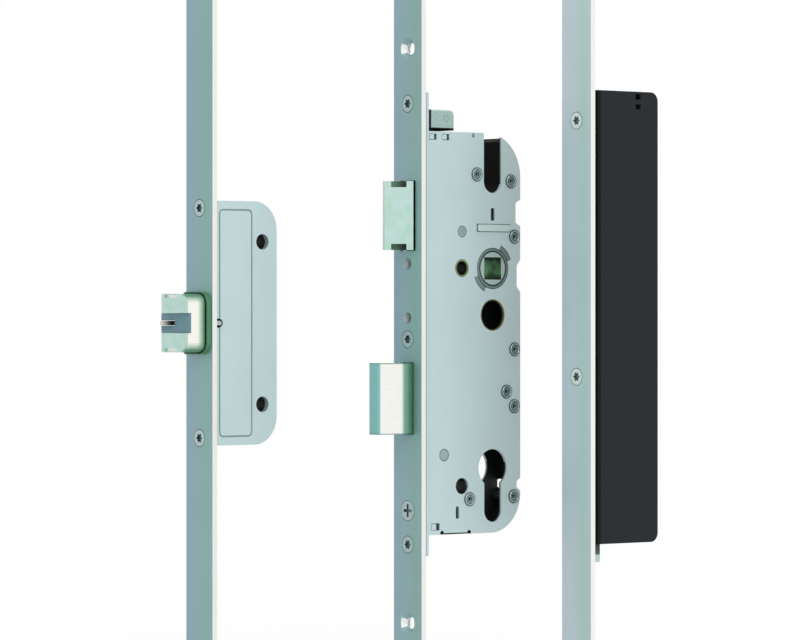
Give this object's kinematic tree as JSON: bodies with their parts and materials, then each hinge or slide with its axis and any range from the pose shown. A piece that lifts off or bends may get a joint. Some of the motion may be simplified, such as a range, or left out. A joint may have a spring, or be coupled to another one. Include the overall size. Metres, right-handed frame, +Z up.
{
  "type": "multipoint door lock",
  "caption": "Multipoint door lock with latch, deadbolt, follower and profile cylinder hole, a locking point with a sprung bolt, and a motor housing on its drive strip",
  "frame": {"origin": "midway between the two fixing screws of the main forend, on the forend's back face, where it seats on the door's edge", "axes": "+X into the door from its edge, +Z up along the forend, Y across the door's thickness with the pictured side at -Y"},
  "size_m": [0.1908, 0.1306, 0.32],
  "materials": {
    "forend_steel": "satin stainless, long grain",
    "case_steel": "pale zinc plated sheet",
    "screw_steel": "plated, turned head",
    "turned_steel": "plated, turned",
    "dark_steel": "dark oxide",
    "ring_steel": "plated",
    "drive_steel": "rolled and plated",
    "cast_zinc": "die cast zinc, satin",
    "bolt_steel": "nickel plated, bright",
    "face_steel": "bright ground plate",
    "spring_steel": "spring wire",
    "collar_plastic": "green moulded",
    "seal_rubber": "black",
    "insert_plastic": "blue grey, smooth",
    "housing_plastic": "black moulded",
    "motor_steel": "drawn can",
    "bearing_plastic": "pale moulded",
    "nut_brass": "turned",
    "board_plastic": "green lacquer"
  },
  "bodies": {
    "fixed_frames": {"main_forend": "forend_steel", "main_star_screws": "screw_steel", "main_sleeves": "turned_steel", "cylinder_screw": "screw_steel", "case_tray": "case_steel", "case_cover": "case_steel", "case_rivets": "turned_steel", "guide_pins": "turned_steel", "slot_liner": "dark_steel", "follower_rings": "ring_steel", "handle_bushes": "turned_steel", "key_gear_axle": "turned_steel", "latch_spring": "spring_steel", "follower_spring": "spring_steel", "point_forend": "forend_steel", "point_star_screws": "screw_steel", "point_sleeves": "turned_steel", "box_tray": "case_steel", "box_cover": "case_steel", "box_bushes": "turned_steel", "box_dowel": "turned_steel", "bolt_collar": "collar_plastic", "bolt_seal": "seal_rubber", "auto_bolt_spring": "spring_steel", "motor_forend": "forend_steel", "motor_star_screws": "screw_steel", "motor_sleeves": "turned_steel", "motor_housing": "housing_plastic", "motor_lid": "housing_plastic", "lid_pins": "turned_steel", "motor": "motor_steel", "gearbox": "motor_steel", "screw_bearing": "bearing_plastic", "circuit_board": "board_plastic"},
    "main_drive": {"drive_slide": "drive_steel", "drive_carriage": "cast_zinc", "upper_drive_strip": "drive_steel", "lower_drive_strip": "drive_steel"},
    "dead_bolt": {"dead_bolt": "bolt_steel", "dead_bolt_pin": "turned_steel"},
    "key_gear": {"key_gear": "drive_steel"},
    "latch": {"latch_bolt": "bolt_steel", "latch_face": "face_steel"},
    "follower": {"follower_hub": "cast_zinc"},
    "point_drive": {"point_slide": "drive_steel", "point_upper_strip": "drive_steel", "point_lower_strip": "drive_steel"},
    "auto_bolt": {"auto_bolt": "bolt_steel", "bolt_end_plate": "face_steel", "bolt_insert": "insert_plastic", "bolt_cam_pin": "turned_steel", "trigger_spring": "spring_steel"},
    "trigger": {"trigger_tongue": "bolt_steel"},
    "motor_drive": {"motor_strip": "drive_steel", "drive_foot": "cast_zinc", "screw_nut": "nut_brass"},
    "lead_screw": {"lead_screw": "turned_steel"},
    "selector": {"selector_slider": "bearing_plastic"}
  },
  "joints": [
    {"name": "main_drive_lift", "type": "slide", "parent": "fixed_frames", "child": "main_drive", "axis": [0, 0, 1], "range_m": [0, 0.02]},
    {"name": "dead_bolt_throw", "type": "slide", "parent": "fixed_frames", "child": "dead_bolt", "axis": [1, 0, 0], "range_m": [0, 0.02]},
    {"name": "key_gear_turn", "type": "hinge", "parent": "fixed_frames", "child": "key_gear", "pos_m": [0.0242, 0, -0.054], "axis": [0, 1, 0], "range_deg": [0, 191]},
    {"name": "point_drive_lift", "type": "slide", "parent": "fixed_frames", "child": "point_drive", "axis": [0, 0, 1], "range_m": [0, 0.02]},
    {"name": "auto_bolt_throw", "type": "slide", "parent": "fixed_frames", "child": "auto_bolt", "axis": [1, 0, 0], "range_m": [0, 0.013], "deforming": ["auto_bolt_spring"]},
    {"name": "trigger_push", "type": "slide", "parent": "auto_bolt", "child": "trigger", "axis": [1, 0, 0], "range_m": [0, 0.004], "stiffness_N_per_m": 300, "springref_m": -0.004, "deforming": ["trigger_spring"]},
    {"name": "motor_drive_lift", "type": "slide", "parent": "fixed_frames", "child": "motor_drive", "axis": [0, 0, 1], "range_m": [0, 0.02]},
    {"name": "lead_screw_turn", "type": "hinge", "parent": "fixed_frames", "child": "lead_screw", "pos_m": [0.07999, -0.04949, 0], "axis": [0, 0, 1], "range_deg": [-901, 0]},
    {"name": "follower_turn", "type": "hinge", "parent": "fixed_frames", "child": "follower", "pos_m": [0.0425, 0, 0.031], "axis": [0, 1, 0], "range_deg": [0, 32], "deforming": ["follower_spring"]},
    {"name": "latch_throw", "type": "slide", "parent": "fixed_frames", "child": "latch", "axis": [1, 0, 0], "range_m": [0, 0.0105], "stiffness_N_per_m": 600, "springref_m": -0.006, "deforming": ["latch_spring"]},
    {"name": "selector_shift", "type": "slide", "parent": "fixed_frames", "child": "selector", "axis": [0, 0, 1], "range_m": [0, 0.0045]}
  ],
  "couplings": [
    {"joint": "dead_bolt_throw", "follows": "main_drive_lift", "ratio": 1},
    {"joint": "key_gear_turn", "follows": "main_drive_lift", "rad_per_m": 166.67},
    {"joint": "point_drive_lift", "follows": "main_drive_lift", "ratio": 1},
    {"joint": "auto_bolt_throw", "follows": "main_drive_lift", "ratio": 0.65},
    {"joint": "motor_drive_lift", "follows": "main_drive_lift", "ratio": 1},
    {"joint": "lead_screw_turn", "follows": "main_drive_lift", "rad_per_m": -785.4},
    {"joint": "follower_turn", "follows": "latch_throw", "rad_per_m": 53.19}
  ]
}
